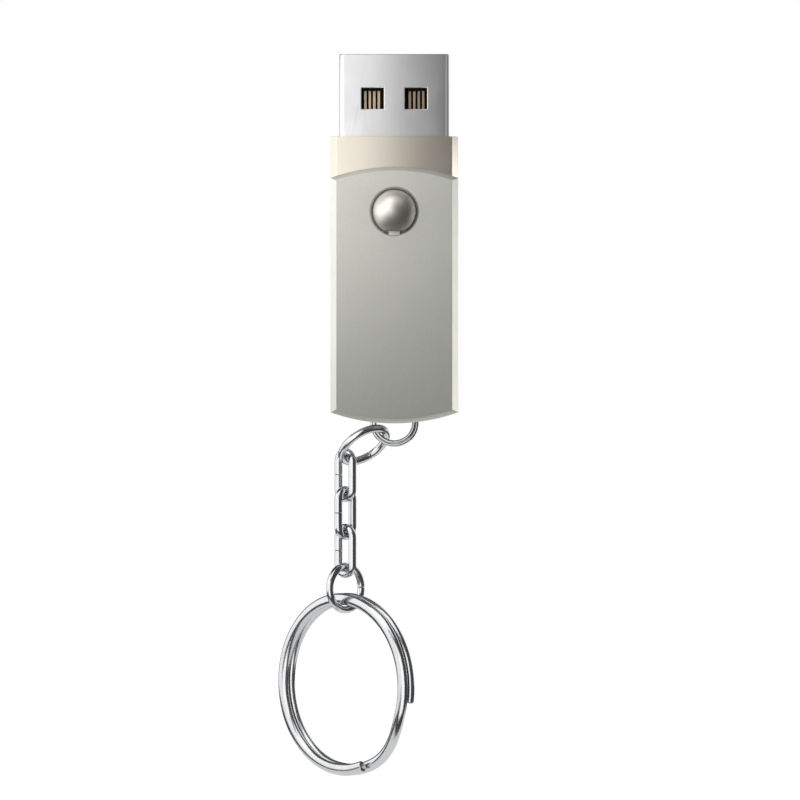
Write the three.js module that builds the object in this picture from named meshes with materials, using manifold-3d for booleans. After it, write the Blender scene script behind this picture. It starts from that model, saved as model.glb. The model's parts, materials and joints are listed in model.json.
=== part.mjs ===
// A USB flash drive whose metal cover swivels about its body, with a short key chain.
// Millimetres. +Z points to the plug, +X to the right, and the front faces -Y.
// The origin is on the swivel axis, halfway through the drive's thickness.

import * as THREE from "three";
import { mergeVertices } from "three/addons/utils/BufferGeometryUtils.js";
import Module from "manifold-3d";

const wasm = await Module();
wasm.setup();

// ---------------------------------------------------------------- driving dimensions

const fitGap = 0.05; // between pieces that are assembled and then stay still
const seamGap = 0.02; // between the two shells of the body, and where wire ends butt
const linkGap = 0.04; // between two rings or links that hang in each other

// The plug's metal sleeve
const plugWidth = 12;
const plugThickness = 4.5;
const plugWall = 0.3;
const plugCorner = 0.55;
const plugExposed = 9; // how far it stands out of the body
const plugSeated = 5; // how far it reaches into the body
const windowWidth = 2.44;
const windowHeight = 2.29;
const windowSpacing = 4.72; // from one window's middle to the other's
const windowFromTip = 3.7;

// The insulator and its four contacts
const tongueFromTip = 0.4;
const tongueBlockLength = 3.3; // the rear part, which fills the sleeve
const clampBarHeight = 1.1; // the bar that holds the contacts down, along the plug
const clampBarStands = 0.4; // how far it stands off the contacts
const clampBarOverlap = 0.2; // how far it reaches below the windows' top edge
const contactThickness = 0.15;
const contactPadWidth = 1;
const contactInnerX = 1; // the standard places of the inner and outer contacts
const contactOuterX = 3.5;
const prongWidth = 0.27;
const prongPitch = 0.49;
const innermostProngX = 1.7;
const contactTailWidth = 0.6;
const contactTailLength = 1.6; // the part soldered to the board

// The body's two shells
const bodyPastPlug = 0.95; // how far the body reaches past the plug's sleeve on each side
const bodyWall = 0.5;
const bodyEdgeChamfer = 0.65;
const shoulderHeight = 8.2; // from the swivel axis up to the body's top face
const plugStopWidth = 1.4;
const plugStopHeight = 0.9;
const plugStopDepth = 1;

// The cover
const plateThickness = 0.9;
const swivelGap = 0.1; // between the body and each plate
const coverTopEdge = 3.65; // from the swivel axis up to the plates' corners
const endRise = 1.2; // how far each curved end bulges past its corners
const coverPastPlug = 4.83; // from the closed plug's sweep to the cover's outer end
const webThickness = 1.5;
const sideChamfer = 0.65; // across the face, along the cover's long sides
const endChamfer = 0.48; // across the face, along its curved ends
const chamferDepth = 0.5;
const bridgeWidth = 2.2; // the bar between the web's two slots, which the bail ring hangs on
const slotLength = 3.2;
const slotGap = 0.11; // from the bail ring to the slots' outer ends

// The two rivets and their clips
const rivetHeadRadius = 2.32;
const rivetHeadGap = 0.1; // round the head, in its recess
const rivetDomeHeight = 1.5;
const rivetRecessDepth = 0.5;
const rivetRecessChamfer = 0.28;
const rivetFlatDepth = 0.28; // how much the flat takes off the head's round side
const rivetTabWidth = 1.2;
const shankRadius = 1.5;
const shankGap = 0.08;
const clipGrooveDepth = 0.3;
const clipThickness = 0.4;
const clipOuterRadius = 2.3;
const clipMouth = 1.7;

// The board and what is soldered to it
const boardThickness = 0.6;
const boardSideGap = 0.85; // from the board's edge to the body's outer side
const boardEndGap = 1.65; // from the board's lower edge to the body's outer end

// The rings and the chain
const bailRadius = 2.31; // of the wire's middle, halfway between its two turns
const bailWire = 0.4;
const bailFloat = 0.14; // free play between the bail ring and the bridge's corners
const bailStagger = 0.32; // how much wider one turn is than the other
const bailStack = 0.3; // how far one turn lies behind the other
const jumpRadius = 2.72;
const jumpWire = 0.85;
const jumpSlope = 32; // degrees that its long axis rises to the right
const jumpTurn = 61; // degrees that it is turned about that axis
const jumpOnBail = 226; // degrees round the bail ring, from +X, where it hangs
const linkOnJump = 195; // degrees round the upper jump ring where the chain hangs
const linkLength = 5.94;
const linkWidth = 3.05;
const linkWire = 0.87;
const linkCount = 3;
const linkTurn = 45; // degrees that links are turned about the vertical, in turn - and +
const lowerJumpRadius = 2.4;
const lowerJumpWire = 0.8;
const keyRingRadius = 9.35;
const keyRingWire = 0.95;
const keyRingBand = 1.3; // the flattened wire's width, across the ring

// ---------------------------------------------------------------- derived dimensions

const driveWidth = plugWidth + 2 * bodyPastPlug;
const bodyThickness = plugThickness + 2 * (bodyWall + fitGap);
const bodyFace = bodyThickness / 2;
const coverInnerFace = bodyFace + swivelGap;
const coverFace = coverInnerFace + plateThickness;
const halfWidth = driveWidth / 2;
const endRadius = (halfWidth ** 2 + endRise ** 2) / (2 * endRise);
const bodyEnd = -(coverTopEdge + endRise);
const plugTip = shoulderHeight + plugExposed;
const plugRear = shoulderHeight - plugSeated;
const plugSweep = Math.hypot(plugWidth / 2, plugTip);
const coverEnd = -(plugSweep + coverPastPlug);
const slotWidth = bailRadius + (bailStagger + bailWire) / 2 + slotGap - bridgeWidth / 2;
const windowTop = plugTip - windowFromTip;
const windowBottom = windowTop - windowHeight;
const windowInnerX = (windowSpacing - windowWidth) / 2;
const contactFace = -contactThickness - seamGap;
const tongueRear = plugRear + 1;

// ---------------------------------------------------------------- solids

const radians = THREE.MathUtils.degToRad;

// A closed geometry as a solid that can be joined and cut.
function solid(geometry) {
  const bare = geometry.index ? geometry.toNonIndexed() : geometry.clone();
  bare.deleteAttribute("normal");
  bare.deleteAttribute("uv");
  const merged = mergeVertices(bare, 1e-4);
  return new wasm.Manifold(
    new wasm.Mesh({
      numProp: 3,
      vertProperties: merged.attributes.position.array,
      triVerts: new Uint32Array(merged.index.array),
    }),
  );
}

function geometryOf(made) {
  const mesh = made.getMesh();
  const geometry = new THREE.BufferGeometry();
  geometry.setAttribute("position", new THREE.BufferAttribute(mesh.vertProperties, 3));
  geometry.setIndex(new THREE.BufferAttribute(mesh.triVerts, 1));
  const flat = geometry.toNonIndexed();
  flat.computeVertexNormals();
  return flat;
}

function box(x0, x1, y0, y1, z0, z1) {
  const geometry = new THREE.BoxGeometry(x1 - x0, y1 - y0, z1 - z0);
  return geometry.translate((x0 + x1) / 2, (y0 + y1) / 2, (z0 + z1) / 2);
}

// An outline drawn in (x, z), made solid from y0 to y1.
function slab(outline, y0, y1) {
  const options = { depth: y1 - y0, bevelEnabled: false, curveSegments: 10 };
  return new THREE.ExtrudeGeometry(outline, options).rotateX(Math.PI / 2).translate(0, y1, 0);
}

// An outline drawn in (x, y), made solid from z0 to z1.
function column(outline, z0, z1) {
  const options = { depth: z1 - z0, bevelEnabled: false, curveSegments: 3 };
  return new THREE.ExtrudeGeometry(outline, options).translate(0, 0, z0);
}

// A profile of (radius, y) points, turned about the swivel axis.
function turned(profile, segments) {
  return new THREE.LatheGeometry(profile.map(([r, y]) => new THREE.Vector2(r, y)), segments);
}

function polygon(points) {
  return new THREE.Shape(points.map(([a, b]) => new THREE.Vector2(a, b)));
}

// The outline of a plate with two bulging ends, stretched along z.
function bulgedOutline(bottomEnd, topEnd, stretch) {
  const reach = Math.asin(halfWidth / endRadius);
  const outline = new THREE.Shape();
  const ends = [
    [bottomEnd + endRadius, -Math.PI / 2],
    [topEnd - endRadius, Math.PI / 2],
  ];
  for (const [centre, middle] of ends)
    outline.absellipse(
      0, centre * stretch, endRadius, endRadius * stretch, middle - reach, middle + reach, false,
    );
  return outline;
}

// Everything above a curve that runs beside a bulging bottom end, thickness inside it.
function aboveCurve(bottomEnd, thickness, top) {
  const radius = endRadius - thickness;
  const side = halfWidth + 1;
  const reach = Math.asin(side / radius);
  const outline = new THREE.Shape();
  const centre = bottomEnd + endRadius;
  outline.absarc(0, centre, radius, -Math.PI / 2 - reach, -Math.PI / 2 + reach, false);
  outline.lineTo(side, top);
  outline.lineTo(-side, top);
  return outline;
}

// ---------------------------------------------------------------- wire shapes

// A ring in the local XZ plane, wound from the angle from to the angle to. Where it has
// more than one turn, each turn lies beside the last, and steps over in a short jog.
class RingPath extends THREE.Curve {
  constructor(radius, from, to, stack = 0, stagger = 0, jog = 0) {
    super();
    Object.assign(this, { radius, from, to, stack, stagger, jog });
  }

  getPoint(t, target = new THREE.Vector3()) {
    const angle = this.from + (this.to - this.from) * t;
    const { smoothstep } = THREE.MathUtils;
    const step = this.jog ? smoothstep(angle, -this.jog, this.jog) - 0.5 : 0;
    const radius = this.radius + step * this.stagger;
    return target.set(
      radius * Math.sin(angle), step * this.stack, radius * Math.cos(angle),
    );
  }
}

// A link's outline in the local XZ plane: two straight sides and two half circles. The wire's
// ends meet in the middle of one side.
class LinkPath extends THREE.Curve {
  getPoint(t, target = new THREE.Vector3()) {
    const bend = (linkWidth - linkWire) / 2;
    const side = (linkLength - linkWire) / 2 - bend;
    const halfLoop = 2 * side + Math.PI * bend;
    const along = seamGap / 2 + t * (2 * halfLoop - seamGap);
    const turn = along > side && along < side + halfLoop ? 1 : -1;
    const reached = turn > 0 ? along - side : (along + halfLoop - side) % (2 * halfLoop);
    const angle = Math.min(reached / bend, Math.PI);
    const down = Math.max(reached - Math.PI * bend, 0);
    return target.set(
      turn * bend * Math.cos(angle), 0, turn * (side + bend * Math.sin(angle) - down),
    );
  }
}

// Wire of an oval section along a path: axial is across the ring's plane, radial is in it.
function wire(path, axial, radial, steps) {
  const section = new THREE.Shape().absellipse(0, 0, axial / 2, radial / 2, 0, 2 * Math.PI);
  return new THREE.ExtrudeGeometry(section, {
    extrudePath: path, steps, curveSegments: 4, bevelEnabled: false,
  });
}

// One turn of round wire whose ends butt at the angle slit.
function openRing(radius, thickness, slit) {
  const half = seamGap / 2 / radius;
  const path = new RingPath(radius, slit + half, slit + 2 * Math.PI - half);
  return wire(path, thickness, thickness, 32);
}

// Two turns of wire: the ends stop short of the jog where one turn steps over to the other.
function splitRing(radius, axial, radial, stack, stagger, steps) {
  const jog = radians(24);
  const reach = 2 * Math.PI - jog - radians(6);
  return wire(new RingPath(radius, -reach, reach, stack, stagger, jog), axial, radial, steps);
}

// ---------------------------------------------------------------- materials

function finish(color, roughness, metalness) {
  return () => new THREE.MeshStandardMaterial({ color, roughness, metalness });
}

const satinSilver = finish(0xb9b9b1, 0.42, 1);
const polishedSteel = finish(0xc4c4c0, 0.12, 1);
const champagne = finish(0xcfc6b2, 0.38, 1);
const nickel = finish(0xd6d6d6, 0.25, 1);
const blackPlastic = finish(0x0c0c0c, 0.5, 0);
const gilt = finish(0xc9a35a, 0.25, 1);
const springSteel = finish(0x8d8f92, 0.35, 1);
const boardGreen = finish(0x1f5a36, 0.55, 0);
const chipEpoxy = finish(0x1a1a1c, 0.6, 0);
const ceramic = finish(0xb08d64, 0.5, 0);
const chrome = finish(0xdadada, 0.08, 1);

// ---------------------------------------------------------------- the drive

const drive = new THREE.Group();

function add(name, shape, material) {
  const geometry = shape.isBufferGeometry ? shape : geometryOf(shape);
  const mesh = new THREE.Mesh(geometry, material());
  mesh.name = name;
  drive.add(mesh);
  return mesh;
}

// What is made for the back half turns half a circle about Z to make the front half.
const frontTurn = Math.PI;

// Cover
const headHole = rivetHeadRadius + rivetHeadGap;
const recessFloor = coverFace - rivetRecessDepth;
const flatAt = rivetHeadRadius - rivetFlatDepth;
const shankHole = shankRadius + shankGap;

function shankBore(y0, y1) {
  return solid(turned([[0, y0], [shankHole, y0], [shankHole, y1], [0, y1]], 32));
}

// The back plate's recess for a rivet's head, with the tab that keys the head left standing.
function recess() {
  const past = 0.4;
  const hollow = solid(turned([
    [0, recessFloor],
    [headHole, recessFloor],
    [headHole, coverFace - rivetRecessChamfer],
    [headHole + rivetRecessChamfer + past, coverFace + past],
    [0, coverFace + past],
  ], 48));
  const half = rivetTabWidth / 2;
  const tab = box(
    -half, half, recessFloor - 1, coverFace - rivetHeadGap, -headHole - 1, -flatAt - fitGap,
  );
  return hollow.subtract(solid(tab));
}

function roundedRectangle(width, height, radius, x = 0, y = 0) {
  const shape = new THREE.Shape();
  const corners = [[1, -1, -90], [1, 1, 0], [-1, 1, 90], [-1, -1, 180]];
  for (const [sideX, sideY, from] of corners)
    shape.absarc(
      x + sideX * (width / 2 - radius), y + sideY * (height / 2 - radius),
      radius, radians(from), radians(from + 90), false,
    );
  return shape;
}

function makeCover() {
  const stretch = sideChamfer / endChamfer;
  const block = new THREE.ExtrudeGeometry(
    bulgedOutline(coverEnd, coverTopEdge + endRise, stretch),
    {
      depth: 2 * (coverFace - chamferDepth), curveSegments: 10, bevelEnabled: true,
      bevelThickness: chamferDepth, bevelSize: sideChamfer, bevelOffset: -sideChamfer,
      bevelSegments: 1,
    },
  );
  block.rotateX(Math.PI / 2).translate(0, coverFace - chamferDepth, 0);
  block.scale(1, 1, 1 / stretch);
  const bay = slab(
    aboveCurve(coverEnd, webThickness, coverTopEdge + endRise + 1), -coverInnerFace, coverInnerFace,
  );
  let cover = solid(block).subtract(solid(bay));
  cover = cover.subtract(shankBore(-coverFace - 1, coverFace + 1));
  cover = cover.subtract(recess()).subtract(recess().rotate([0, 0, 180]));
  for (const side of [-1, 1]) {
    const middle = (side * (bridgeWidth + slotWidth)) / 2;
    const slot = roundedRectangle(slotWidth, slotLength, slotWidth / 2 - fitGap, middle);
    cover = cover.subtract(solid(column(slot, coverEnd - 1, coverEnd + endRise + webThickness + 1)));
  }
  return cover;
}

add("cover", makeCover(), satinSilver);

// Rivets and clips
const bodyInnerFace = bodyFace - bodyWall;
const clipOuterFace = bodyInnerFace - fitGap;
const clipInnerFace = clipOuterFace - clipThickness;
const grooveRadius = shankRadius - clipGrooveDepth;

// A rivet for the back plate; its head's outer surface is the list of (radius, y) points.
function rivet(headTop) {
  const neck = 0.3;
  const lead = 0.1;
  const grooveStart = clipInnerFace - fitGap;
  const body = solid(turned([
    [0, grooveStart - neck],
    [shankRadius - lead, grooveStart - neck],
    [shankRadius, grooveStart - neck + lead],
    [shankRadius, grooveStart],
    [grooveRadius, grooveStart],
    [grooveRadius, bodyInnerFace],
    [shankRadius, bodyInnerFace],
    [shankRadius, recessFloor + seamGap],
    [rivetHeadRadius, recessFloor + seamGap],
    ...headTop,
  ], 48));
  const size = rivetHeadRadius;
  return body.subtract(
    solid(box(-size, size, recessFloor, coverFace + rivetDomeHeight + 1, -size - 1, -flatAt)),
  );
}

function domedHead() {
  const sphere = (rivetHeadRadius ** 2 + rivetDomeHeight ** 2) / (2 * rivetDomeHeight);
  const centre = coverFace + rivetDomeHeight - sphere;
  const halfAngle = Math.asin(rivetHeadRadius / sphere);
  const steps = 9;
  return Array.from({ length: steps + 1 }, (unused, i) => {
    const angle = halfAngle * (1 - i / steps);
    return [sphere * Math.sin(angle), centre + sphere * Math.cos(angle)];
  });
}

function flushHead() {
  const edge = 0.15;
  const top = coverFace - seamGap;
  return [[rivetHeadRadius, top - edge], [rivetHeadRadius - edge, top], [0, top]];
}

function clip() {
  const inner = grooveRadius + fitGap;
  const outerMouth = Math.asin(clipMouth / 2 / clipOuterRadius);
  const innerMouth = Math.asin(clipMouth / 2 / inner);
  const down = -Math.PI / 2;
  const outline = new THREE.Shape();
  outline.absarc(0, 0, clipOuterRadius, down + outerMouth, down + 2 * Math.PI - outerMouth, false);
  outline.absarc(0, 0, inner, down + 2 * Math.PI - innerMouth, down + innerMouth, true);
  return slab(outline, clipInnerFace, clipOuterFace);
}

add("front_rivet", rivet(domedHead()).rotate([0, 0, 180]), polishedSteel);
add("back_rivet", rivet(flushHead()), satinSilver);
add("front_rivet_clip", clip(), springSteel).rotation.z = frontTurn;
add("back_rivet_clip", clip(), springSteel);

// Body shells
function makeBodyShell() {
  const chamfer = bodyEdgeChamfer;
  const profile = polygon([
    [-halfWidth, seamGap / 2], [halfWidth, seamGap / 2], [halfWidth, bodyFace - chamfer],
    [halfWidth - chamfer, bodyFace], [chamfer - halfWidth, bodyFace],
    [-halfWidth, bodyFace - chamfer],
  ]);
  const inside = halfWidth - bodyWall;
  const channel = plugWidth / 2 + fitGap;
  const over = bodyInnerFace;
  let shell = solid(column(profile, bodyEnd - 1, shoulderHeight)).intersect(
    solid(slab(aboveCurve(bodyEnd, 0, shoulderHeight + 1), 0, bodyFace + 1)),
  );
  const room = solid(slab(aboveCurve(bodyEnd, bodyWall, plugRear), -1, over)).intersect(
    solid(box(-inside, inside, -2, bodyFace, bodyEnd, shoulderHeight)),
  );
  shell = shell.subtract(room);
  shell = shell.subtract(
    solid(box(-channel, channel, -1, over, plugRear - fitGap, shoulderHeight + 1)),
  );
  const stopTop = plugRear - fitGap;
  for (const side of [-1, 1]) {
    const [near, far] = [side * (channel - plugStopWidth), side * (inside + fitGap)];
    const stop = box(
      Math.min(near, far), Math.max(near, far), over - plugStopDepth, over + fitGap,
      stopTop - plugStopHeight, stopTop,
    );
    shell = shell.add(solid(stop));
  }
  return shell.subtract(shankBore(0, bodyFace + 1));
}

add("body_front_shell", makeBodyShell().rotate([0, 0, 180]), champagne);
add("body_back_shell", makeBodyShell(), champagne);

// Plug sleeve
function makePlugShell() {
  const outline = roundedRectangle(plugWidth, plugThickness, plugCorner);
  const bore = roundedRectangle(
    plugWidth - 2 * plugWall, plugThickness - 2 * plugWall, plugCorner - plugWall,
  );
  outline.holes.push(bore);
  let sleeve = solid(column(outline, plugRear, plugTip));
  for (const side of [-1, 1]) {
    const middle = (side * windowSpacing) / 2;
    const half = windowWidth / 2;
    const window = box(
      middle - half, middle + half, -plugThickness, plugThickness, windowBottom, windowTop,
    );
    sleeve = sleeve.subtract(solid(window));
  }
  const fold = box(-seamGap, seamGap, 0, plugThickness, plugRear - 1, plugTip + 1);
  return sleeve.subtract(solid(fold));
}

add("plug_shell", makePlugShell(), nickel);

// Insulator
const tongueTip = plugTip - tongueFromTip;
const barBottom = windowTop - clampBarOverlap;
const contactSpan = contactOuterX + contactPadWidth / 2 + 2 * fitGap;

function makeTongue() {
  const width = plugWidth - 2 * (plugWall + fitGap);
  const thickness = plugThickness - 2 * (plugWall + fitGap);
  const outline = roundedRectangle(width, thickness, plugCorner - plugWall);
  const half = width / 2 + 1;
  const tongue = solid(box(-half, half, 0, plugThickness, tongueRear - 1, plugTip));
  const block = solid(
    box(-half, half, -plugThickness, 1, tongueRear - 1, tongueRear + tongueBlockLength),
  );
  const bar = solid(
    box(-half, half, contactFace - clampBarStands, 1, barBottom, barBottom + clampBarHeight),
  );
  const passage = solid(
    box(-contactSpan, contactSpan, contactFace - seamGap, 0, tongueRear - 1, plugTip),
  );
  return solid(column(outline, tongueRear, tongueTip))
    .intersect(tongue.add(block).add(bar))
    .subtract(passage);
}

add("plug_tongue", makeTongue(), blackPlastic);

// Contacts: a pad near the plug's mouth, two prongs behind a window, and a soldered tail.
function contact(padX, prongX, side) {
  const padTop = tongueTip - 0.7;
  const padBottom = barBottom + clampBarHeight - 0.05;
  const forkTop = padBottom - 0.35;
  const forkBottom = windowBottom - 0.4;
  const tailTop = forkBottom - 0.9;
  const tailEnd = tongueRear - contactTailLength;
  const pad = contactPadWidth / 2;
  const tail = contactTailWidth / 2;
  const [low, high] = [prongX - prongWidth / 2, prongX + prongPitch + prongWidth / 2];
  const place = (points) => points.map(([x, z]) => [side * x, z]);
  const outline = polygon(place([
    [padX - pad, padTop], [padX - pad, padBottom], [low, forkTop], [low, forkBottom],
    [padX - tail, tailTop], [padX - tail, tailEnd], [padX + tail, tailEnd], [padX + tail, tailTop],
    [high, forkBottom], [high, forkTop], [padX + pad, padBottom], [padX + pad, padTop],
  ]));
  outline.holes.push(polygon(place([
    [low + prongWidth, forkTop - prongWidth], [high - prongWidth, forkTop - prongWidth],
    [high - prongWidth, forkBottom + prongWidth], [low + prongWidth, forkBottom + prongWidth],
  ])));
  return slab(outline, contactFace, -seamGap);
}

[
  [contactOuterX, innermostProngX + 2 * prongPitch, -1],
  [contactInnerX, innermostProngX, -1],
  [contactInnerX, innermostProngX, 1],
  [contactOuterX, innermostProngX + 2 * prongPitch, 1],
].forEach(([padX, prongX, side], i) => {
  add(`contact_${i + 1}`, contact(padX, prongX, side), gilt);
});

// Circuit board, with its parts on the front (y < 0) and the memory on the back
const boardFront = 0;
const boardBack = boardFront + boardThickness;
const boardLow = bodyEnd + boardEndGap;
const boardShoulder = plugRear - 2 * fitGap;

function makeBoard() {
  const wide = halfWidth - boardSideGap;
  const narrow = plugWidth / 2 - plugWall - 4 * fitGap;
  const top = tongueRear - 4 * fitGap;
  const outline = polygon([
    [-wide, boardLow], [wide, boardLow], [wide, boardShoulder], [narrow, boardShoulder],
    [narrow, top], [-narrow, top], [-narrow, boardShoulder], [-wide, boardShoulder],
  ]);
  return slab(outline, boardFront, boardBack);
}

add("circuit_board", makeBoard(), boardGreen);

// A block soldered to the board: middle (x, z), width, height, and how far it stands.
function mounted(x, z, width, height, stands, onBack = false) {
  const near = onBack ? boardBack + seamGap : boardFront - seamGap - stands;
  return box(x - width / 2, x + width / 2, near, near + stands, z - height / 2, z + height / 2);
}

const rowAboveEdge = 0.6;
add("flash_chip", mounted(0, boardLow + 3, 9, 4.6, 0.8, true), chipEpoxy);
add("controller_chip", mounted(1.4, boardLow + 2.6, 4, 4, 0.75), chipEpoxy);
add("crystal", mounted(-3.4, boardLow + 2.8, 2, 2.5, 0.6), springSteel);
for (let i = 0; i < 3; i += 1)
  add(`capacitor_${i + 1}`, mounted(4.9, boardLow + rowAboveEdge + 1.2 * i, 1, 0.5, 0.5), ceramic);
for (let i = 0; i < 2; i += 1)
  add(`resistor_${i + 1}`, mounted(-5.3, boardLow + rowAboveEdge + 1.2 * i, 1, 0.5, 0.35), chipEpoxy);

// ---------------------------------------------------------------- rings and chain

// Places a piece made in the local XZ plane by its middle and its three axes.
function place(mesh, middle, xAxis, yAxis, zAxis) {
  mesh.quaternion.setFromRotationMatrix(new THREE.Matrix4().makeBasis(xAxis, yAxis, zAxis));
  mesh.position.copy(middle);
}

// Bail ring: it hangs on the bridge's two upper corners, with its jog inside the cover.
const bandRadius = (Math.hypot(bailStagger, bailStack) + bailWire) / 2;
const bailInner = bailRadius - (bailStagger + bailWire) / 2;
const bridgeCorner =
  coverEnd + endRadius - Math.sqrt((endRadius - webThickness) ** 2 - (bridgeWidth / 2) ** 2);
const bailZ = bridgeCorner - Math.sqrt((bailInner - bailFloat) ** 2 - (bridgeWidth / 2) ** 2);
const bail = splitRing(bailRadius, bailWire, bailWire, bailStack, bailStagger, 56);
add("bail_ring", bail, chrome).position.z = bailZ;

// Upper jump ring: its long axis slopes, and it is turned about that axis.
const hangAngle = radians(jumpOnBail);
const slope = radians(jumpSlope);
const turn = radians(jumpTurn);
const longAxis = new THREE.Vector3(Math.cos(slope), 0, Math.sin(slope));
const shortAxis = new THREE.Vector3(
  -Math.sin(slope) * Math.cos(turn), -Math.sin(turn), Math.cos(slope) * Math.cos(turn),
);
const jumpAxle = new THREE.Vector3().crossVectors(shortAxis, longAxis);
const hookRadius = bailRadius - bandRadius - jumpWire / 2 - linkGap;
const jumpMiddle = new THREE.Vector3(
  hookRadius * Math.cos(hangAngle), 0, bailZ + hookRadius * Math.sin(hangAngle),
).addScaledVector(longAxis, -jumpRadius);
place(
  add("upper_jump_ring", openRing(jumpRadius, jumpWire, Math.PI), chrome),
  jumpMiddle, longAxis, jumpAxle, shortAxis,
);

// Chain: it hangs straight down from the upper jump ring's wire.
const linkAngle = radians(linkOnJump);
const hook = jumpMiddle.clone()
  .addScaledVector(longAxis, jumpRadius * Math.cos(linkAngle))
  .addScaledVector(shortAxis, jumpRadius * Math.sin(linkAngle));
const wireDirection = longAxis.clone().multiplyScalar(-Math.sin(linkAngle))
  .addScaledVector(shortAxis, Math.cos(linkAngle));
const firstGap =
  ((jumpWire + linkWire) / 2 + linkGap) / Math.sqrt(1 - wireDirection.z ** 2);
const linkHalf = (linkLength - linkWire) / 2;
const linkPitch = linkLength - 2 * linkWire - linkGap;
const firstLinkZ = hook.z + firstGap - linkHalf;
const turnOf = (i) => radians(i % 2 ? linkTurn : -linkTurn);

function hang(mesh, z, i) {
  mesh.position.set(hook.x, hook.y, z);
  mesh.rotation.z = turnOf(i);
}

for (let i = 0; i < linkCount; i += 1)
  hang(
    add(`chain_link_${i + 1}`, wire(new LinkPath(), linkWire, linkWire, 28), chrome),
    firstLinkZ - i * linkPitch, i,
  );

const chainEnd = firstLinkZ - (linkCount - 1) * linkPitch - linkHalf;
const lowerJumpZ = chainEnd + (linkWire + lowerJumpWire) / 2 + linkGap - lowerJumpRadius;
hang(
  add("lower_jump_ring", openRing(lowerJumpRadius, lowerJumpWire, Math.PI / 2), chrome),
  lowerJumpZ, linkCount,
);

// Key ring: two flat turns side by side, whose jog is turned away from where it hangs.
const keyRingStack = keyRingWire + linkGap;
const seat = lowerJumpRadius - (lowerJumpWire + keyRingBand) / 2 - linkGap;
const keyRingZ = lowerJumpZ - Math.sqrt(seat ** 2 - (keyRingStack / 2) ** 2) - keyRingRadius;
const keyRing = splitRing(keyRingRadius, keyRingWire, keyRingBand, keyRingStack, 0, 88);
hang(add("key_ring", keyRing.rotateY(radians(130)), chrome), keyRingZ, linkCount + 1);

export default drive;
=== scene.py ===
# A USB flash drive with a swivelling metal cover and a short key chain.
# Lengths below are in millimetres. They become metres where a piece, light or camera is made.

import json
import math

import bmesh
import bpy
from mathutils import Matrix, Vector

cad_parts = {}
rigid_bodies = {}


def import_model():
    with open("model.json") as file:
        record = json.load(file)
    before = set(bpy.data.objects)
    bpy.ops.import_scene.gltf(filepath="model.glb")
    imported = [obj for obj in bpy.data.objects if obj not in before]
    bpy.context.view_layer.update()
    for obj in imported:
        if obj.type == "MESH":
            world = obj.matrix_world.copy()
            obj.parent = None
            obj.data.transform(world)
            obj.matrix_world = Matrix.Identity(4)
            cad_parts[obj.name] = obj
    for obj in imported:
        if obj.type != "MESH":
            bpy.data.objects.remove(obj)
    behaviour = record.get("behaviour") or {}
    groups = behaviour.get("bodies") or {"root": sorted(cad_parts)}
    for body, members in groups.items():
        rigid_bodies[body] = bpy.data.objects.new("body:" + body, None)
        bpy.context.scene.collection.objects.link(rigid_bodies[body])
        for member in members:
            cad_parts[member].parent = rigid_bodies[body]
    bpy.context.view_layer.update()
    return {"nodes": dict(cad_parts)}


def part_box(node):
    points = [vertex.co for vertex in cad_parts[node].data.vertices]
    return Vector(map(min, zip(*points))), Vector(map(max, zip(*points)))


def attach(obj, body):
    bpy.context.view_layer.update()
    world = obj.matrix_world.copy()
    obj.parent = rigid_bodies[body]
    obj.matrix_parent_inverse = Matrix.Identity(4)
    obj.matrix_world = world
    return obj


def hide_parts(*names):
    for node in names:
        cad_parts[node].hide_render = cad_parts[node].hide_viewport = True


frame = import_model()

MM = 0.001
nodes = frame["nodes"]


# ---------------------------------------------------------------- places from the frame

def low(node):
    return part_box(node)[0] / MM


def high(node):
    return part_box(node)[1] / MM


def middle(node):
    return (low(node) + high(node)) / 2


COVER_FACE = high("cover").y
KEY_RING_END = low("key_ring").z

# The rings and links, as the frame has them
JUMP_SLOPE = 32  # degrees that the upper jump ring's long axis rises to the right
JUMP_TURN = 61  # degrees that it is turned about that axis
LINK_TURN = 45  # degrees that links are turned about the vertical, in turn - and +
JUMP_RADIUS = 2.72
JUMP_WIRE = 0.85
BAIL_RADIUS = 2.31
BAIL_WIRE = 0.4
BAIL_STAGGER = 0.32
BAIL_STACK = 0.3
TURN_STEP = 24  # degrees each side of the place where one turn of wire steps over to the next
TURN_GAP = 6  # degrees left between a wire's end and that step
LINK_LENGTH = 5.94
LINK_WIDTH = 3.05
LINK_WIRE = 0.87
LOWER_JUMP_RADIUS = 2.4
LOWER_JUMP_WIRE = 0.8
KEY_RING_RADIUS = 9.35
KEY_RING_WIRE = 0.95
KEY_RING_BAND = 1.3
KEY_RING_STACK = 0.99
KEY_RING_JOG = 130  # degrees round the key ring from its top to where a turn steps over
SEAM = 0.02  # between the ends of a bent wire

# The plug's sleeve and the front rivet
PLUG_WALL = 0.3
PLUG_CORNER = 0.55
CORNER_STEPS = 8
WINDOW_WIDTH = 2.44
WINDOW_HEIGHT = 2.29
WINDOW_SPACING = 4.72
WINDOW_FROM_TIP = 3.7
RIVET_RECESS = 0.5
SHANK_RADIUS = 1.5
SHANK_LEAD = 0.1  # chamfer at the shank's end
CLIP_GROOVE = 0.3  # depth of the groove that the clip snaps into
GROOVE_CLEARANCE = 0.05  # each side of the clip
DOME_STEPS = 24
RIVET_SIDES = 128

BEVEL_ANGLE = 24  # degrees from which an edge counts as sharp and is rounded


# ---------------------------------------------------------------- camera, floor and light

VIEW_WIDTH = 86.9  # what the picture takes in, at the cover's face
VIEW_CENTRE = (0.62, -20.5)  # x and z of the picture's middle
VIEW_DISTANCE = 520
NEAREST_SEEN = 10
FARTHEST_SEEN = 20000
FLOOR_RADIUS = 450
FLOOR_IN_FRONT = 170  # how far the floor comes out in front of the drive
FLOOR_BELOW = 14  # under the key ring
AMBIENT = 0.08  # how bright the surroundings are in what the drive reflects


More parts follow.
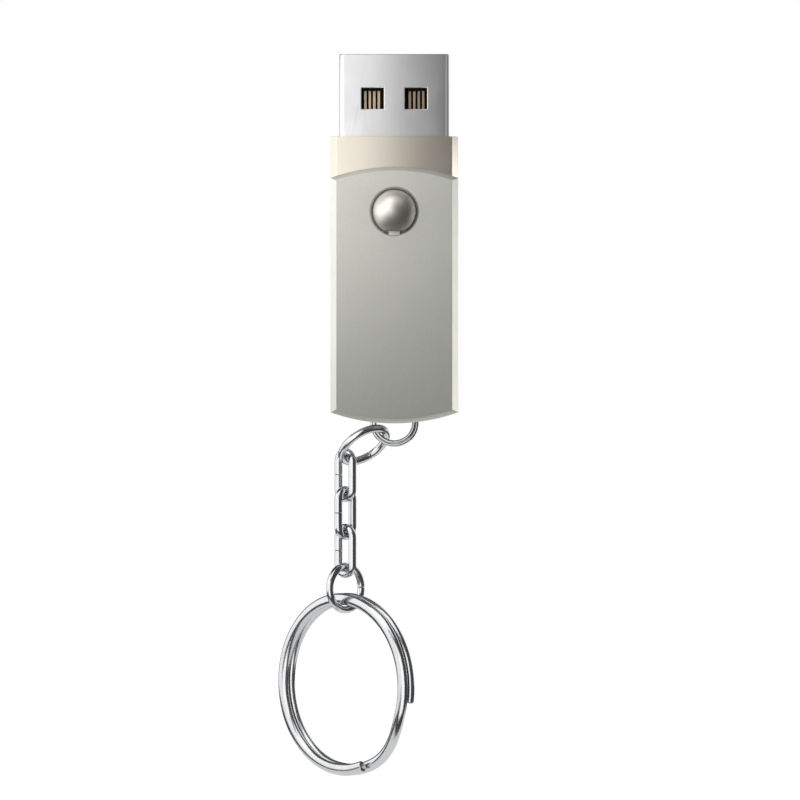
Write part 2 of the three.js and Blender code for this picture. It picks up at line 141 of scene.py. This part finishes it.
def add_camera():
    data = bpy.data.cameras.new("camera")
    data.lens = data.sensor_width * (VIEW_DISTANCE - COVER_FACE) / VIEW_WIDTH
    data.clip_start = NEAREST_SEEN * MM
    data.clip_end = FARTHEST_SEEN * MM
    camera = bpy.data.objects.new("camera", data)
    x, z = VIEW_CENTRE
    camera.location = Vector((x, -VIEW_DISTANCE, z)) * MM
    camera.rotation_euler = (math.radians(90), 0, 0)
    bpy.context.scene.collection.objects.link(camera)
    bpy.context.scene.camera = camera


def add_floor():
    """A pale round table under the hanging key ring."""
    mesh = bmesh.new()
    bmesh.ops.create_circle(mesh, cap_ends=True, segments=96, radius=FLOOR_RADIUS * MM)
    data = bpy.data.meshes.new("floor")
    mesh.to_mesh(data)
    mesh.free()
    floor = bpy.data.objects.new("floor", data)
    floor.location = Vector((0, FLOOR_RADIUS - FLOOR_IN_FRONT, KEY_RING_END - FLOOR_BELOW)) * MM
    floor.visible_glossy = False
    bpy.context.scene.collection.objects.link(floor)
    paint = bpy.data.materials.new("floor")
    paint.use_nodes = True
    shader = paint.node_tree.nodes["Principled BSDF"]
    shader.inputs["Base Color"].default_value = (0.4, 0.4, 0.4, 1)
    shader.inputs["Roughness"].default_value = 0.9
    shader.inputs["Emission Color"].default_value = (1, 1, 1, 1)
    shader.inputs["Emission Strength"].default_value = 1.0
    data.materials.append(paint)


def softbox(name, place, aim, width, height, radiance):
    """A soft light that the camera doesn't see. radiance 1 reads as white in a mirror."""
    data = bpy.data.lights.new(name, "AREA")
    data.shape = "RECTANGLE"
    data.size = width * MM
    data.size_y = height * MM
    data.energy = radiance * math.pi * data.size * data.size_y
    light = bpy.data.objects.new(name, data)
    light.location = Vector(place) * MM
    light.rotation_mode = "QUATERNION"
    towards = Vector(aim) - Vector(place)
    light.rotation_quaternion = towards.to_track_quat("-Z", "Y")
    light.visible_camera = False
    bpy.context.scene.collection.objects.link(light)
    return light


def add_world():
    """White to the camera, and a dimmer grey to everything that the drive reflects."""
    world = bpy.data.worlds.new("studio")
    world.use_nodes = True
    tree = world.node_tree
    tree.nodes.clear()
    output = tree.nodes.new("ShaderNodeOutputWorld")
    mix = tree.nodes.new("ShaderNodeMixShader")
    path = tree.nodes.new("ShaderNodeLightPath")
    seen = tree.nodes.new("ShaderNodeBackground")
    lit = tree.nodes.new("ShaderNodeBackground")
    seen.inputs["Color"].default_value = (1, 1, 1, 1)
    seen.inputs["Strength"].default_value = 1.0
    lit.inputs["Color"].default_value = (1, 1, 1, 1)
    lit.inputs["Strength"].default_value = AMBIENT
    tree.links.new(path.outputs["Is Camera Ray"], mix.inputs["Fac"])
    tree.links.new(lit.outputs["Background"], mix.inputs[1])
    tree.links.new(seen.outputs["Background"], mix.inputs[2])
    tree.links.new(mix.outputs["Shader"], output.inputs["Surface"])
    bpy.context.scene.world = world


def add_lights():
    """Soft boxes round the drive: the place, aim, width, height and radiance of each.
    One may be flagged off some pieces, or meant for some alone."""
    wires = [name for name in bpy.data.objects.keys() if name.endswith("_wire")]
    dome = "front_rivet_dome"
    shells = "body_front_shell", "body_back_shell"
    key = softbox("key", (-57, -42, 49.4), (-57, 0, 49.4), 112, 121.2, 1.5)
    dome_key = softbox("dome_key", (-62, -42, 52), (-62, 0, 52), 110, 122, 1.7)
    softbox("left_wall", (-90, 5, -8), (0, 5, -8), 150, 106, 1.33)
    under = softbox("under", (0, 22, KEY_RING_END - 8), (0, 22, 0), 90, 70, 0.88)
    back = softbox("back", (70, 110, 20), (0, 0, -10), 180, 160, 1.0)
    right_fill = softbox("right_fill", (70, -60, 5), (0, 0, -5), 90, 110, 0.4)
    top_front = softbox("top_front", (-10, -52, 96), (-4, 0, 8), 170, 50, 0.92)
    right_strip = softbox("right_strip", (70, -20, -20), (0, -20, -20), 46, 60, 2.25)
    shell_strip = softbox("shell_strip", (70, -20, -20), (0, -20, -20), 46, 60, 2.9)
    wire_front = softbox("wire_front", (-45, -100, -45), (-5, 0, -35), 110, 120, 1.5)
    flag(key, [dome])
    flag(dome_key, [dome], "INCLUDE")
    flag(under, [dome])
    flag(back, [dome])
    flag(right_fill, [dome, *wires])
    flag(top_front, ["plug_sleeve", *shells, *wires])
    flag(right_strip, ["cover"], "INCLUDE")
    flag(shell_strip, shells, "INCLUDE")
    flag(wire_front, wires, "INCLUDE")


def flag(light, names, state="EXCLUDE"):
    """Keeps a light off the pieces named, or on them alone."""
    group = bpy.data.collections.new(f"{light.name}_flag")
    for name in names:
        group.objects.link(bpy.data.objects[name])
    for member in group.collection_objects:
        member.light_linking.link_state = state
    light.light_linking.receiver_collection = group


bpy.context.scene.view_settings.view_transform = "Standard"
add_camera()
add_floor()
add_world()


# ---------------------------------------------------------------- materials

class Finish:
    """A Principled material, and short ways to build up its nodes."""

    def __init__(self, name, color, roughness, metallic=0.0):
        self.material = bpy.data.materials.new(name)
        self.material.use_nodes = True
        self.tree = self.material.node_tree
        self.shader = self.tree.nodes["Principled BSDF"]
        self.shader.inputs["Metallic"].default_value = metallic
        self.color = (*color, 1)
        self.roughness = roughness
        coordinates = self.tree.nodes.new("ShaderNodeTexCoord")
        self.position = coordinates.outputs["Object"]
        self.color_out = None
        self.roughness_out = None
        self.height_out = None

    def node(self, kind, **settings):
        made = self.tree.nodes.new("ShaderNode" + kind)
        for key, value in settings.items():
            setattr(made, key, value)
        return made

    def feed(self, socket, value):
        """value is an output to link, or a constant."""
        if isinstance(value, bpy.types.NodeSocket):
            self.tree.links.new(value, socket)
        else:
            socket.default_value = value

    def compute(self, operation, a, b=0.0):
        made = self.node("Math", operation=operation)
        self.feed(made.inputs[0], a)
        self.feed(made.inputs[1], b)
        return made.outputs[0]

    def mapped(self, stretch=(1, 1, 1), turn=(0, 0, 0)):
        """Object space in millimetres, stretched and turned."""
        made = self.node("Mapping", vector_type="TEXTURE")
        made.inputs["Scale"].default_value = [MM * s for s in stretch]
        made.inputs["Rotation"].default_value = [math.radians(a) for a in turn]
        self.tree.links.new(self.position, made.inputs["Vector"])
        return made.outputs["Vector"]

    def noise(self, size, detail, stretch=(1, 1, 1), turn=(0, 0, 0)):
        """Noise whose blotches are about size millimetres across."""
        made = self.node("TexNoise")
        made.inputs["Scale"].default_value = 1 / size
        made.inputs["Detail"].default_value = detail
        self.tree.links.new(self.mapped(stretch, turn), made.inputs["Vector"])
        return made.outputs["Fac"]

    def spread(self, value, start, end):
        """A soft step from 0, where value is start, to 1, where it is end."""
        made = self.node("MapRange", interpolation_type="SMOOTHSTEP")
        self.feed(made.inputs["Value"], value)
        made.inputs["From Min"].default_value = start
        made.inputs["From Max"].default_value = end
        return made.outputs["Result"]

    def blend_color(self, amount, a, b):
        """A Mix node's colour sockets are inputs 6 and 7, and output 2."""
        made = self.node("Mix", data_type="RGBA")
        self.feed(made.inputs["Factor"], amount)
        self.feed(made.inputs[6], a)
        self.feed(made.inputs[7], b)
        return made.outputs[2]

    def vary_color(self, amount, other):
        """Moves the colour towards other where amount is 1."""
        start = self.color_out or self.color
        self.color_out = self.blend_color(amount, start, (*other, 1))

    def vary_roughness(self, amount, change):
        start = self.roughness_out or self.roughness
        self.roughness_out = self.compute("ADD", start, self.compute("MULTIPLY", amount, change))

    def raise_surface(self, amount, height):
        """Adds amount times height, in millimetres, to the surface."""
        step = self.compute("MULTIPLY", amount, height * MM)
        self.height_out = self.compute("ADD", self.height_out, step) if self.height_out else step

    def edges(self, reach):
        """1 on sharp edges, fading to 0 at about reach millimetres from them."""
        bevel = self.node("Bevel", samples=4)
        bevel.inputs["Radius"].default_value = reach * MM
        geometry = self.node("NewGeometry")
        dot = self.node("VectorMath", operation="DOT_PRODUCT")
        self.tree.links.new(bevel.outputs["Normal"], dot.inputs[0])
        self.tree.links.new(geometry.outputs["Normal"], dot.inputs[1])
        return self.spread(dot.outputs["Value"], 0.995, 0.9)

    def painted_gap_shade(self, reach):
        """A mask for painted shade: 1 deep in a narrow gap, and 0 where nothing stands within
        about reach millimetres.
        """
        shelter = self.node("AmbientOcclusion", samples=6)
        shelter.inputs["Distance"].default_value = reach * MM
        return self.spread(shelter.outputs["AO"], 0.45, 0.12)

    def scratches(self, length, width, turn, sparse=0.62):
        """Fine lines in patches, fewer of them as sparse goes up."""
        lines = self.noise(width, 1.0, (1, 1, length / width), turn)
        patches = self.noise(length, 1.0)
        thin = self.spread(lines, sparse, sparse + 0.03)
        return self.compute("MULTIPLY", thin, self.spread(patches, 0.5, 0.62))

    def done(self):
        inputs = self.shader.inputs
        self.feed(inputs["Base Color"], self.color_out or self.color)
        self.feed(inputs["Roughness"], self.roughness_out or self.roughness)
        if self.height_out:
            bump = self.node("Bump")
            bump.inputs["Strength"].default_value = 1.0
            bump.inputs["Distance"].default_value = 1.0
            self.tree.links.new(self.height_out, bump.inputs["Height"])
            self.tree.links.new(bump.outputs["Normal"], inputs["Normal"])
        return self.material


def scaled(color, factor):
    return tuple(min(1.0, c * factor) for c in color)


def blasted_metal(name, color, roughness, grain, grain_height):
    """Bead-blasted or satin metal: fine round grain, faint smudges, bright worn edges, and painted
    shade darkening narrow gaps.
    """
    made = Finish(name, color, roughness, 1.0)
    smudge = made.noise(6, 3.0)
    made.vary_color(made.spread(smudge, 0.35, 0.7), scaled(color, 0.97))
    made.vary_color(made.edges(0.12), scaled(color, 1.14))
    # Painted shade: the colour goes much darker deep in narrow gaps and recesses, where shadow
    # falls.
    made.vary_color(made.painted_gap_shade(0.6), scaled(color, 0.16))
    made.vary_roughness(made.spread(smudge, 0.4, 0.7), 0.02)
    fine = made.noise(grain, 2.0)
    made.vary_roughness(fine, 0.05)
    made.vary_color(made.spread(fine, 0.45, 0.62), scaled(color, 0.93))
    hairs = made.scratches(9, 0.05, (0, 24, 0))
    made.vary_roughness(hairs, -0.08)
    made.raise_surface(fine, grain_height)
    made.raise_surface(hairs, -0.0012)
    return made.done()


def brushed_metal(name, color, roughness, stretch, line_height):
    """Sheet metal with fine lines along the way that it was rolled."""
    made = Finish(name, color, roughness, 1.0)
    smudge = made.noise(4, 3.0)
    lines = made.noise(0.06, 3.0, stretch)
    made.vary_color(made.spread(lines, 0.3, 0.75), scaled(color, 0.95))
    made.vary_color(made.spread(smudge, 0.45, 0.75), scaled(color, 0.95))
    made.vary_color(made.edges(0.1), scaled(color, 1.1))
    made.vary_roughness(made.spread(smudge, 0.4, 0.7), 0.05)
    made.vary_roughness(lines, 0.04)
    hairs = made.scratches(6, 0.04, (0, 12, 0), 0.66)
    made.vary_roughness(hairs, 0.12)
    made.raise_surface(lines, line_height)
    made.raise_surface(hairs, -0.001)
    return made.done()


def bright_plate(name, color, roughness, wave_height):
    """Plated wire: soft waves, hairlines both ways and a few tiny pits."""
    made = Finish(name, color, roughness, 1.0)
    waves = made.noise(1.6, 2.0)
    made.vary_color(made.spread(made.noise(2.5, 3.0), 0.5, 0.75), scaled(color, 0.93))
    made.vary_roughness(made.spread(waves, 0.4, 0.7), 0.03)
    hairs = made.scratches(2.5, 0.03, (0, 40, 0), 0.64)
    cross = made.scratches(2.0, 0.03, (50, 0, 20), 0.66)
    both = made.compute("MAXIMUM", hairs, cross)
    made.vary_roughness(both, 0.1)
    pits = made.spread(made.noise(0.12, 0.0), 0.3, 0.24)
    made.raise_surface(waves, wave_height)
    made.raise_surface(both, -0.0004)
    made.raise_surface(pits, -0.0008)
    return made.done()


def polished_dome(name, color, roughness):
    """A pressed and tumbled rivet head: even, a little cloudy, with faint hairlines, and painted
    shade in the gap round it.
    """
    made = Finish(name, color, roughness, 1.0)
    cloud = made.noise(1.2, 3.0)
    made.vary_color(made.spread(cloud, 0.4, 0.75), scaled(color, 0.94))
    made.vary_roughness(made.spread(cloud, 0.4, 0.7), 0.03)
    fine = made.noise(0.05, 2.0)
    made.vary_roughness(fine, 0.03)
    hairs = made.scratches(2.0, 0.03, (0, 40, 0), 0.66)
    made.vary_roughness(hairs, 0.08)
    # Painted shade: the colour goes darker deep in the narrow gap round the head, where shadow
    # falls.
    made.vary_color(made.painted_gap_shade(0.7), scaled(color, 0.3))
    made.raise_surface(fine, 0.0005)
    made.raise_surface(hairs, -0.0006)
    return made.done()


def moulded_plastic(name, color, roughness, specular):
    """Plastic with a fine matt skin and soft flow marks."""
    made = Finish(name, color, roughness)
    made.shader.inputs["Specular IOR Level"].default_value = specular
    fine = made.noise(0.05, 2.0)
    flow = made.noise(2.5, 2.0, (3, 1, 1))
    made.vary_color(made.spread(flow, 0.35, 0.7), scaled(color, 1.6))
    made.vary_roughness(fine, 0.12)
    made.raise_surface(fine, 0.004)
    made.raise_surface(flow, 0.008)
    return made.done()


def solder_mask():
    """Green lacquer over copper tracks, which show as a lighter green pattern."""
    green = (0.012, 0.11, 0.045)
    made = Finish("solder_mask", green, 0.32)
    tracks = made.node("TexBrick")
    tracks.inputs["Scale"].default_value = 1.0
    tracks.inputs["Mortar Size"].default_value = 0.12
    tracks.inputs["Brick Width"].default_value = 1.3
    tracks.inputs["Row Height"].default_value = 0.7
    turned = made.mapped(turn=(90, 0, 0))
    made.tree.links.new(turned, tracks.inputs["Vector"])
    made.vary_color(tracks.outputs["Fac"], (0.03, 0.2, 0.08))
    made.vary_color(made.spread(made.noise(1.2, 3.0), 0.4, 0.7), scaled(green, 0.7))
    made.raise_surface(tracks.outputs["Fac"], 0.03)
    made.raise_surface(made.noise(0.3, 2.0), 0.004)
    made.vary_roughness(made.noise(0.8, 2.0), 0.12)
    return made.done()


def chip_capacitor():
    """A tan ceramic body between two tinned ends."""
    made = Finish("chip_capacitor", (0.36, 0.24, 0.13), 0.5)
    split = made.node("SeparateXYZ")
    generated = made.node("TexCoord").outputs["Generated"]
    made.tree.links.new(generated, split.inputs["Vector"])
    from_middle = made.compute("ABSOLUTE", made.compute("SUBTRACT", split.outputs["X"], 0.5))
    ends = made.compute("GREATER_THAN", from_middle, 0.28)
    grain = made.noise(0.06, 2.0)
    made.vary_color(grain, (0.42, 0.29, 0.17))
    made.vary_color(ends, (0.7, 0.7, 0.7))
    made.vary_roughness(ends, -0.2)
    made.raise_surface(ends, 0.02)
    made.raise_surface(grain, 0.006)
    made.tree.links.new(ends, made.shader.inputs["Metallic"])
    return made.done()


satin_silver = blasted_metal(
    "satin_silver", (0.735, 0.735, 0.682), roughness=0.54, grain=0.07, grain_height=0.0022
)
champagne = blasted_metal(
    "champagne", (0.75, 0.69, 0.595), roughness=0.27, grain=0.05, grain_height=0.0008
)
nickel_plate = brushed_metal(
    "nickel_plate", (0.74, 0.74, 0.745), roughness=0.27, stretch=(1, 1, 30), line_height=0.0006
)
polished_steel = polished_dome("polished_steel", (0.78, 0.748, 0.69), roughness=0.46)
chrome_wire = bright_plate("chrome_wire", (0.6, 0.605, 0.62), roughness=0.17, wave_height=0.001)
spring_steel = brushed_metal(
    "spring_steel", (0.42, 0.43, 0.45), roughness=0.33, stretch=(20, 1, 1), line_height=0.0008
)
gilt = brushed_metal(
    "gilt", (0.62, 0.495, 0.33), roughness=0.3, stretch=(1, 1, 20), line_height=0.0006
)
black_plastic = moulded_plastic(
    "black_plastic", (0.004, 0.004, 0.004), roughness=0.5, specular=0.15
)
chip_epoxy = moulded_plastic("chip_epoxy", (0.022, 0.022, 0.024), roughness=0.55, specular=0.4)
board_lacquer = solder_mask()
capacitor_body = chip_capacitor()


# ---------------------------------------------------------------- pieces that the frame has

def round_edges(piece, width, steps=3, miter="MITER_SHARP"):
    """Rounds the sharp edges, and keeps flat faces looking flat."""
    bevel = piece.modifiers.new("round_edges", "BEVEL")
    bevel.width = width * MM
    bevel.segments = steps
    bevel.limit_method = "ANGLE"
    bevel.angle_limit = math.radians(BEVEL_ANGLE)
    bevel.miter_outer = miter
    normals = piece.modifiers.new("normals", "WEIGHTED_NORMAL")
    normals.keep_sharp = True


def dress(node, material, edge, steps=3):
    """Gives a CAD node rounded edges, smooth shading and its material."""
    piece = nodes[node]
    weld = piece.modifiers.new("weld", "WELD")
    weld.merge_threshold = 0.001 * MM
    merge = piece.modifiers.new("merge_flats", "DECIMATE")
    merge.decimate_type = "DISSOLVE"
    merge.angle_limit = math.radians(0.3)
    round_edges(piece, edge, steps, "MITER_ARC")
    data = piece.data
    data.polygons.foreach_set("use_smooth", [True] * len(data.polygons))
    data.materials.clear()
    data.materials.append(material)


dress("cover", satin_silver, edge=0.07)
dress("back_rivet", satin_silver, edge=0.04)
for side in ("front", "back"):
    dress(f"{side}_rivet_clip", spring_steel, edge=0.03, steps=2)
    dress(f"body_{side}_shell", champagne, edge=0.13)
dress("plug_tongue", black_plastic, edge=0.04)
for number in range(1, 5):
    dress(f"contact_{number}", gilt, edge=0.03, steps=2)
dress("circuit_board", board_lacquer, edge=0.03, steps=2)
for node in ("flash_chip", "controller_chip", "resistor_1", "resistor_2"):
    dress(node, chip_epoxy, edge=0.04, steps=2)
for number in range(1, 4):
    dress(f"capacitor_{number}", capacitor_body, edge=0.04, steps=2)
dress("crystal", spring_steel, edge=0.12, steps=4)


# ---------------------------------------------------------------- pieces made here

def add_piece(name, mesh, material, slot, body, *stands_for):
    """A smooth mesh, in millimetres, as a piece in place of CAD nodes."""
    bmesh.ops.scale(mesh, vec=(MM, MM, MM), verts=mesh.verts)
    bmesh.ops.recalc_face_normals(mesh, faces=mesh.faces)
    data = bpy.data.meshes.new(name)
    mesh.to_mesh(data)
    mesh.free()
    data.polygons.foreach_set("use_smooth", [True] * len(data.polygons))
    data.materials.append(material)
    piece = bpy.data.objects.new(name, data)
    bpy.context.scene.collection.objects.link(piece)
    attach(piece, body)
    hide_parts(*stands_for)
    return piece


def skin(rings):
    """A closed mesh through a list of rings of points, with a flat face at each end."""
    mesh = bmesh.new()
    loops = [[mesh.verts.new(point) for point in ring] for ring in rings]
    count = len(loops[0])
    for near, far in zip(loops, loops[1:]):
        for i in range(count):
            j = (i + 1) % count
            mesh.faces.new((near[i], near[j], far[j], far[i]))
    mesh.faces.new(loops[0][::-1])
    mesh.faces.new(loops[-1])
    return mesh


def swept(path, axis, axial, radial, sides, rounding):
    """Wire of an oval section along path, with softly broken ends. axis is square to the bend."""
    rings = []
    last = len(path) - 1
    # How far in from an end, and how far short of full thickness, a quarter round's rings lie
    ends = [(math.sin(a), 1 - math.cos(a)) for a in (0, math.pi / 6, math.pi / 3, math.pi / 2)]

    def ring(index, shrink, back):
        ahead = path[min(index + 1, last)] - path[max(index - 1, 0)]
        along = ahead.normalized()
        across = axis - along * axis.dot(along)
        across.normalize()
        outward = along.cross(across)
        here = path[index] + along * back
        points = []
        for k in range(sides):
            angle = 2 * math.pi * k / sides
            a = across * (math.cos(angle) * (axial / 2 - shrink))
            b = outward * (math.sin(angle) * (radial / 2 - shrink))
            points.append(here + a + b)
        return points

    for rise, inset in ends:
        rings.append(ring(0, rounding * (1 - rise), rounding * inset))
    rings += [ring(i, 0, 0) for i in range(1, last)]
    for rise, inset in reversed(ends):
        rings.append(ring(last, rounding * (1 - rise), -rounding * inset))
    return skin(rings)


def ring_path(radius, start, end, steps, stack=0.0, stagger=0.0, jog=0.0):
    """A ring in the local XZ plane; with a jog, each turn lies beside and inside the last."""
    points = []
    for i in range(steps + 1):
        angle = start + (end - start) * i / steps
        step = 0.0
        if jog:
            t = min(max((angle + jog) / (2 * jog), 0), 1)
            step = t * t * (3 - 2 * t) - 0.5
        reach = radius + step * stagger
        points.append(Vector((reach * math.sin(angle), step * stack, reach * math.cos(angle))))
    return points


def link_path(length, width, wire, arc_steps, side_steps):
    """A link's outline in the local XZ plane, from the middle of one side round to itself."""
    bend = (width - wire) / 2
    half = (length - wire) / 2 - bend
    points = [Vector((-bend, 0, half * i / side_steps)) for i in range(side_steps)]
    points[0].z = SEAM / 2
    for turn in (1, -1):
        for i in range(arc_steps):
            angle = math.pi * i / arc_steps
            points.append(
                Vector((-turn * bend * math.cos(angle), 0, turn * (half + bend * math.sin(angle))))
            )
        count = 2 * side_steps if turn > 0 else side_steps
        reach = 2 * half if turn > 0 else half
        points += [
            Vector((turn * bend, 0, turn * (half - reach * i / count))) for i in range(count)
        ]
    points.append(Vector((-bend, 0, -SEAM / 2)))
    return points


def double_turn(radius, steps, stack, stagger):
    """Just under two turns of wire in the local XZ plane. One steps over to the other at +Z."""
    jog = math.radians(TURN_STEP)
    reach = 2 * math.pi - jog - math.radians(TURN_GAP)
    return ring_path(radius, -reach, reach, steps, stack, stagger, jog)


def closed_ring(radius, seam_angle, steps):
    """One turn of wire in the local XZ plane, with its seam seam_angle round from +Z."""
    half = SEAM / 2 / radius
    return ring_path(radius, seam_angle + half, seam_angle + 2 * math.pi - half, steps)


def turned_about_z(degrees):
    return Matrix.Rotation(math.radians(degrees), 3, "Z")


def add_wire(node, body, path, basis, centre, section, sides, rounding):
    """Wire bent along path, in place of a node. section is its (axial, radial) thickness."""
    route = [basis @ point + centre for point in path]
    mesh = swept(route, basis.col[1], *section, sides, rounding)
    add_piece(f"{node}_wire", mesh, chrome_wire, "chrome_wire", body, node)


def add_bail_ring():
    outer = BAIL_RADIUS + (BAIL_STAGGER + BAIL_WIRE) / 2
    centre = middle("bail_ring")
    centre.z = low("bail_ring").z + outer
    path = double_turn(BAIL_RADIUS, 360, BAIL_STACK, BAIL_STAGGER)
    section = BAIL_WIRE, BAIL_WIRE
    basis = Matrix.Identity(3)
    add_wire("bail_ring", "bail", path, basis, centre, section, sides=20, rounding=0.05)


def add_upper_jump_ring():
    slope = math.radians(JUMP_SLOPE)
    turn = math.radians(JUMP_TURN)
    long_axis = Vector((math.cos(slope), 0, math.sin(slope)))
    short_axis = Vector((
        -math.sin(slope) * math.cos(turn), -math.sin(turn), math.cos(slope) * math.cos(turn),
    ))
    axle = short_axis.cross(long_axis)
    basis = Matrix((long_axis, axle, short_axis)).transposed()
    path = closed_ring(JUMP_RADIUS, math.pi, 160)
    node = "upper_jump_ring"
    section = JUMP_WIRE, JUMP_WIRE
    add_wire(node, "upper_ring", path, basis, middle(node), section, sides=32, rounding=0.09)


def add_links():
    path = link_path(LINK_LENGTH, LINK_WIDTH, LINK_WIRE, arc_steps=36, side_steps=12)
    section = LINK_WIRE, LINK_WIRE
    for i in range(3):
        node = f"chain_link_{i + 1}"
        basis = turned_about_z(LINK_TURN if i % 2 else -LINK_TURN)
        add_wire(
            node, f"link_{i + 1}", path, basis, middle(node), section, sides=32, rounding=0.08
        )


def add_lower_jump_ring():
    node = "lower_jump_ring"
    path = closed_ring(LOWER_JUMP_RADIUS, math.pi / 2, 150)
    basis = turned_about_z(LINK_TURN)
    section = LOWER_JUMP_WIRE, LOWER_JUMP_WIRE
    add_wire(node, "lower_ring", path, basis, middle(node), section, sides=32, rounding=0.09)


def add_key_ring():
    node = "key_ring"
    path = double_turn(KEY_RING_RADIUS, 480, KEY_RING_STACK, 0)
    basis = turned_about_z(-LINK_TURN) @ Matrix.Rotation(math.radians(KEY_RING_JOG), 3, "Y")
    section = KEY_RING_WIRE, KEY_RING_BAND
    add_wire(node, node, path, basis, middle(node), section, sides=32, rounding=0.12)


def sleeve_stations(wall, corner, stops):
    """(outer, inner) points round the plug's rounded rectangle, from its back seam round to it.
    stops are the x places on the flat sides where a window starts or ends."""
    outer = high("plug_shell")
    reach_x, reach_y = outer.x - corner, outer.y - corner
    stations = []

    def flat(side, places):
        stations.extend(
            (Vector((x, side * outer.y)), Vector((x, side * (outer.y - wall)))) for x in places
        )

    def bend(side_x, side_y, start):
        centre = Vector((side_x * reach_x, side_y * reach_y))
        for i in range(CORNER_STEPS + 1):
            angle = start - math.pi / 2 * i / CORNER_STEPS
            way = Vector((math.cos(angle), math.sin(angle)))
            stations.append((centre + way * corner, centre + way * (corner - wall)))

    flat(1, [SEAM] + stops)
    bend(1, 1, math.pi / 2)
    bend(1, -1, 0)
    flat(-1, [*stops[::-1], *(-x for x in stops)])
    bend(-1, -1, -math.pi / 2)
    bend(-1, 1, math.pi)
    flat(1, [-x for x in stops[::-1]] + [-SEAM])
    return stations


def add_plug_sleeve():
    """Folded sheet: every cell between two stations and two heights is metal or a window."""
    near = WINDOW_SPACING / 2 - WINDOW_WIDTH / 2
    far = WINDOW_SPACING / 2 + WINDOW_WIDTH / 2
    stations = sleeve_stations(PLUG_WALL, PLUG_CORNER, [near, far])
    top = high("plug_shell").z - WINDOW_FROM_TIP
    heights = [low("plug_shell").z, top - WINDOW_HEIGHT, top, high("plug_shell").z]
    mesh = bmesh.new()
    points = {}
    for i, pair in enumerate(stations):
        for j, z in enumerate(heights):
            for layer, place in enumerate(pair):
                points[i, j, layer] = mesh.verts.new((place.x, place.y, z))

    def is_metal(i, j):
        if not (0 <= i < len(stations) - 1 and 0 <= j < len(heights) - 1):
            return False
        middle_x = abs(stations[i][0].x + stations[i + 1][0].x) / 2
        on_flat = stations[i][0].y == stations[i + 1][0].y
        return not (j == 1 and on_flat and near < middle_x < far)

    for i in range(len(stations) - 1):
        for j in range(len(heights) - 1):
            if not is_metal(i, j):
                continue
            corners = [(i, j), (i + 1, j), (i + 1, j + 1), (i, j + 1)]
            for layer in (0, 1):
                mesh.faces.new([points[a, b, layer] for a, b in corners])
            beyond = [(i, j - 1), (i + 1, j), (i, j + 1), (i - 1, j)]
            for k, (a, b) in enumerate(beyond):
                if not is_metal(a, b):
                    one, two = corners[k], corners[(k + 1) % 4]
                    mesh.faces.new(
                        (points[*one, 0], points[*two, 0], points[*two, 1], points[*one, 1])
                    )
    piece = add_piece("plug_sleeve", mesh, nickel_plate, "nickel_plate", "core", "plug_shell")
    round_edges(piece, width=0.09)


def lathe(profile, sides):
    """A (radius, y) profile that starts and ends on the axis, turned about the Y axis."""
    mesh = bmesh.new()
    rings = []
    for radius, y in profile:
        if radius < 1e-6:
            rings.append([mesh.verts.new((0, y, 0))])
            continue
        turns = (2 * math.pi * k / sides for k in range(sides))
        rings.append(
            [mesh.verts.new((radius * math.cos(a), y, radius * math.sin(a))) for a in turns]
        )
    for one, two in zip(rings, rings[1:]):
        for k in range(sides):
            n = (k + 1) % sides
            if len(one) == 1:
                mesh.faces.new((one[0], two[k], two[n]))
            elif len(two) == 1:
                mesh.faces.new((one[k], two[0], one[n]))
            else:
                mesh.faces.new((one[k], two[k], two[n], one[n]))
    return mesh


def add_front_rivet():
    """A shank with a clip groove, and a head that is a low dome with one flat."""
    base, tip = high("front_rivet"), low("front_rivet")
    radius = base.x
    groove_front = low("front_rivet_clip").y - GROOVE_CLEARANCE
    groove_back = high("front_rivet_clip").y + GROOVE_CLEARANCE
    groove_radius = SHANK_RADIUS - CLIP_GROOVE
    rise = -COVER_FACE - tip.y
    sphere = (radius ** 2 + rise ** 2) / (2 * rise)
    half_angle = math.asin(radius / sphere)
    seat = -COVER_FACE + RIVET_RECESS - SEAM
    profile = [
        (0, base.y), (SHANK_RADIUS - SHANK_LEAD, base.y), (SHANK_RADIUS, base.y - SHANK_LEAD),
        (SHANK_RADIUS, groove_back), (groove_radius, groove_back),
        (groove_radius, groove_front), (SHANK_RADIUS, groove_front),
        (SHANK_RADIUS, seat), (radius, seat),
    ]
    for i in range(DOME_STEPS + 1):
        angle = half_angle * (1 - i / DOME_STEPS)
        profile.append((sphere * math.sin(angle), tip.y + sphere * (1 - math.cos(angle))))
    mesh = lathe(profile, RIVET_SIDES)
    whole = [*mesh.verts, *mesh.edges, *mesh.faces]
    cut = bmesh.ops.bisect_plane(
        mesh, geom=whole, plane_co=(0, 0, tip.z), plane_no=(0, 0, -1), clear_outer=True
    )
    rim = [part for part in cut["geom_cut"] if isinstance(part, bmesh.types.BMEdge)]
    bmesh.ops.contextual_create(mesh, geom=rim)
    piece = add_piece(
        "front_rivet_dome", mesh, polished_steel, "polished_steel", "cover", "front_rivet"
    )
    round_edges(piece, width=0.05)


add_bail_ring()
add_upper_jump_ring()
add_links()
add_lower_jump_ring()
add_key_ring()
add_plug_sleeve()
add_front_rivet()

# The lights come after the pieces, because flag() looks pieces up by name.
add_lights()
